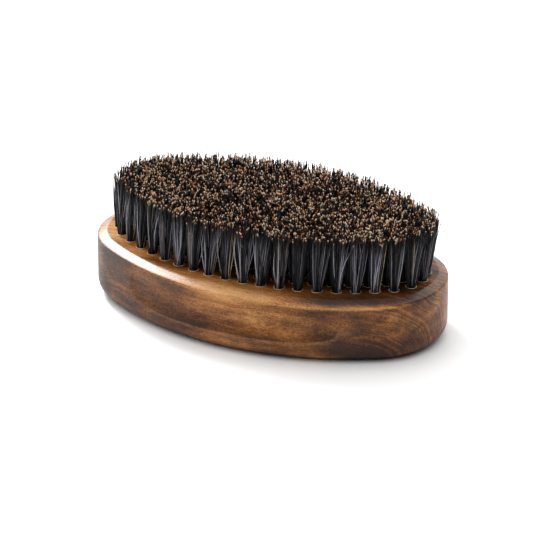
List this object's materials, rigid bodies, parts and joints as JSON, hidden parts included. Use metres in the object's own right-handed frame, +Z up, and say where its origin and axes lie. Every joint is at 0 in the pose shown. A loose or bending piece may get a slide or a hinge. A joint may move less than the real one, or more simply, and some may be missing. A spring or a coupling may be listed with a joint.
{
  "type": "beard brush",
  "caption": "Oval wooden beard brush: a bevelled hardwood back with finger coves, drilled for rows of boar-bristle tufts that wire anchors hold.",
  "frame": {"origin": "middle of the flat resting face, at the base of the object's box", "axes": "+X along the brush's length, +Y across its width, +Z up through the bristles"},
  "size_m": [0.115, 0.067, 0.0376],
  "materials": {
    "stained_wood": "satin varnish over dark stain",
    "boar_bristle": "black natural bristle with tan split tips",
    "anchor_wire": "plain drawn wire"
  },
  "bodies": {
    "root": {"wood_back": "stained_wood", "row_1_tufts_back_right": "boar_bristle", "row_1_tufts_back_left": "boar_bristle", "row_1_tufts_front_left": "boar_bristle", "row_1_tufts_front_right": "boar_bristle", "row_2_tufts_back_right": "boar_bristle", "row_2_tufts_back_left": "boar_bristle", "row_2_tufts_front_left": "boar_bristle", "row_2_tufts_front_right": "boar_bristle", "row_3_tufts_back_right": "boar_bristle", "row_3_tufts_back_left": "boar_bristle", "row_3_tufts_front_left": "boar_bristle", "row_3_tufts_front_right": "boar_bristle", "row_4_tufts_back_right": "boar_bristle", "row_4_tufts_back_left": "boar_bristle", "row_4_tufts_front_left": "boar_bristle", "row_4_tufts_front_right": "boar_bristle", "row_5_tufts_back_right": "boar_bristle", "row_5_tufts_back_left": "boar_bristle", "row_5_tufts_front_left": "boar_bristle", "row_5_tufts_front_right": "boar_bristle", "centre_row_tufts_left": "boar_bristle", "centre_row_tufts_right": "boar_bristle", "row_1_anchors": "anchor_wire", "row_2_anchors": "anchor_wire", "row_3_anchors": "anchor_wire", "row_4_anchors": "anchor_wire", "row_5_anchors": "anchor_wire", "centre_row_anchors": "anchor_wire"}
  },
  "joints": []
}
